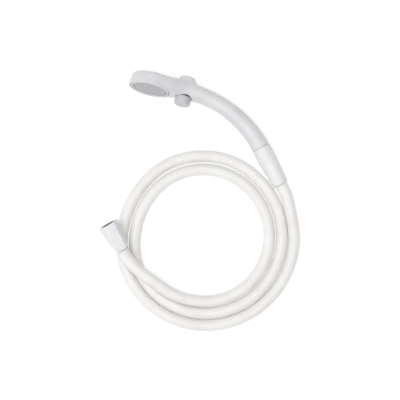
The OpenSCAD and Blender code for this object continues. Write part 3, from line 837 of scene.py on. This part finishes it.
def thread_tree():
    """Cuts a helical thread into the inside of a tube, over the points marked 'cut'."""
    tree, given = start_tree("pipe thread", {
        "Pitch": "Float", "Depth": "Float", "Material": "Material"})
    place = add(tree, "GeometryNodeInputPosition").outputs[0]
    part = add(tree, "ShaderNodeSeparateXYZ", {"Vector": place}).outputs
    turn = add(tree, "ShaderNodeMath", {0: part["Y"], 1: part["X"]}, operation="ARCTAN2")
    turns = add(tree, "ShaderNodeMath", {0: turn.outputs[0], 1: TURN}, operation="DIVIDE")
    rise = add(tree, "ShaderNodeMath", {0: part["Z"], 1: given["Pitch"]}, operation="DIVIDE")
    run = add(tree, "ShaderNodeMath", {0: rise.outputs[0], 1: turns.outputs[0]}, operation="SUBTRACT")
    wave = add(tree, "ShaderNodeMath", {0: run.outputs[0], 1: 0.5}, operation="PINGPONG")
    depth = add(tree, "ShaderNodeMapRange", {
        "Value": wave.outputs[0], "From Min": 0.06, "From Max": 0.44,
        "To Min": 0.0, "To Max": given["Depth"]})
    marked = add(tree, "GeometryNodeInputNamedAttribute", {"Name": "cut"}, data_type="FLOAT")
    deep = add(tree, "ShaderNodeMath", {
        0: depth.outputs[0], 1: marked.outputs[0]}, operation="MULTIPLY")
    flat = add(tree, "ShaderNodeCombineXYZ", {"X": part["X"], "Y": part["Y"]})
    out = add(tree, "ShaderNodeVectorMath", {0: flat.outputs[0]}, operation="NORMALIZE")
    move = add(tree, "ShaderNodeVectorMath", {
        0: out.outputs[0], "Scale": deep.outputs[0]}, operation="SCALE")
    cut = add(tree, "GeometryNodeSetPosition", {
        "Geometry": given["Geometry"], "Offset": move.outputs[0]})
    end_tree(tree, cut.outputs[0], given["Material"])
    return tree


def make_thread_insert():
    """The plated bush in the wall nut's mouth, with a real G1/2 thread."""
    pitch, depth, step, lead_in = 1.814, 1.16, 0.15, 1.0
    crest = NUT_BORE / 2
    front = NUT_L - LIP_L - 0.05
    depths = np.arange(front, seal_face, -step)
    outline = [(INSERT_R, seal_face), (INSERT_R, front), (crest + depth + 0.02, front)]
    outline += [(crest, z) for z in depths[1:]] + [(crest, seal_face)]
    points, faces = spin(np.array(outline))
    mesh = mesh_of("bush", points, faces)
    marks = mesh.attributes.new("cut", "FLOAT", "POINT")
    inside = np.hypot(points[:, 0], points[:, 1]) < crest + 0.01
    away = np.clip((points[:, 2] - seal_face) / lead_in, 0, 1)
    marks.data.foreach_set("value", (inside * away).astype(np.float32))
    grown = grow("bush_seed", mesh, thread_tree(), {
        "Pitch": pitch, "Depth": depth, "Material": nickel_darkened_as_shade})
    return put_piece("thread_bush", grown, WALL_NUT, "wall_nut", ["thread_insert"])


thread_bush = make_thread_insert()
make_hose()

# ---------------------------------------------------------------- CAD nodes that stay as they are
KEPT = {
    "diffuser_plate": inner_plastic, "filter_disc": steel, "plate_gasket": rubber,
    "valve_sleeve": brass, "sleeve_seals": rubber, "spool": inner_plastic, "spool_seals": rubber,
    "tail_spigot": inner_plastic, "spigot_seal": rubber, "flow_regulator": inner_plastic,
    "upper_washer": rubber, "upper_tail": brass, "cone_slip_ring": nut_white, "lower_tail": brass,
    "lower_washer": rubber, "strainer": steel, "wall_slip_ring": nut_white,
}
for node, material in KEPT.items():
    frame["nodes"][node].data.materials.clear()
    frame["nodes"][node].data.materials.append(material)

# ---------------------------------------------------------------- floor and light
FLOOR_SIZE = 6


def make_floor():
    """A plain pale surface that glows faintly, as a lit table does."""
    half = FLOOR_SIZE / 2
    mesh = bpy.data.meshes.new("floor")
    corners = [(-half, -half, 0), (half, -half, 0), (half, half, 0), (-half, half, 0)]
    mesh.from_pydata(corners, [], [(0, 1, 2, 3)])
    floor = bpy.data.objects.new("floor", mesh)
    material = bpy.data.materials.new("Paper white matt")
    material.use_nodes = True
    surface = material.node_tree.nodes["Principled BSDF"]
    surface.inputs["Base Color"].default_value = shade("#B4B4B4")
    surface.inputs["Roughness"].default_value = 0.9
    surface.inputs["Specular IOR Level"].default_value = 0.1
    surface.inputs["Emission Color"].default_value = (1, 1, 1, 1)
    surface.inputs["Emission Strength"].default_value = 0.6
    mesh.materials.append(material)
    bpy.context.scene.collection.objects.link(floor)


def make_light(name, place, size, power):
    """A square soft box that faces the middle of the view."""
    data = bpy.data.lights.new(name, "AREA")
    data.size = size
    data.energy = power
    light = bpy.data.objects.new(name, data)
    light.location = place
    way = Vector((*VIEW_CENTRE, 0)) - light.location
    light.rotation_euler = way.to_track_quat("-Z", "Y").to_euler()
    bpy.context.scene.collection.objects.link(light)


def make_world():
    world = bpy.data.worlds.new("studio")
    world.use_nodes = True
    world.node_tree.nodes["Background"].inputs["Color"].default_value = (1, 1, 1, 1)
    world.node_tree.nodes["Background"].inputs["Strength"].default_value = 0.42
    bpy.context.scene.world = world
    bpy.context.scene.view_settings.view_transform = "Standard"


make_floor()
make_light("overhead box", (-0.4, -0.25, 2.0), 2.8, 44)
make_light("side box", (-1.8, -0.2, 0.9), 1.4, 1.5)
make_world()
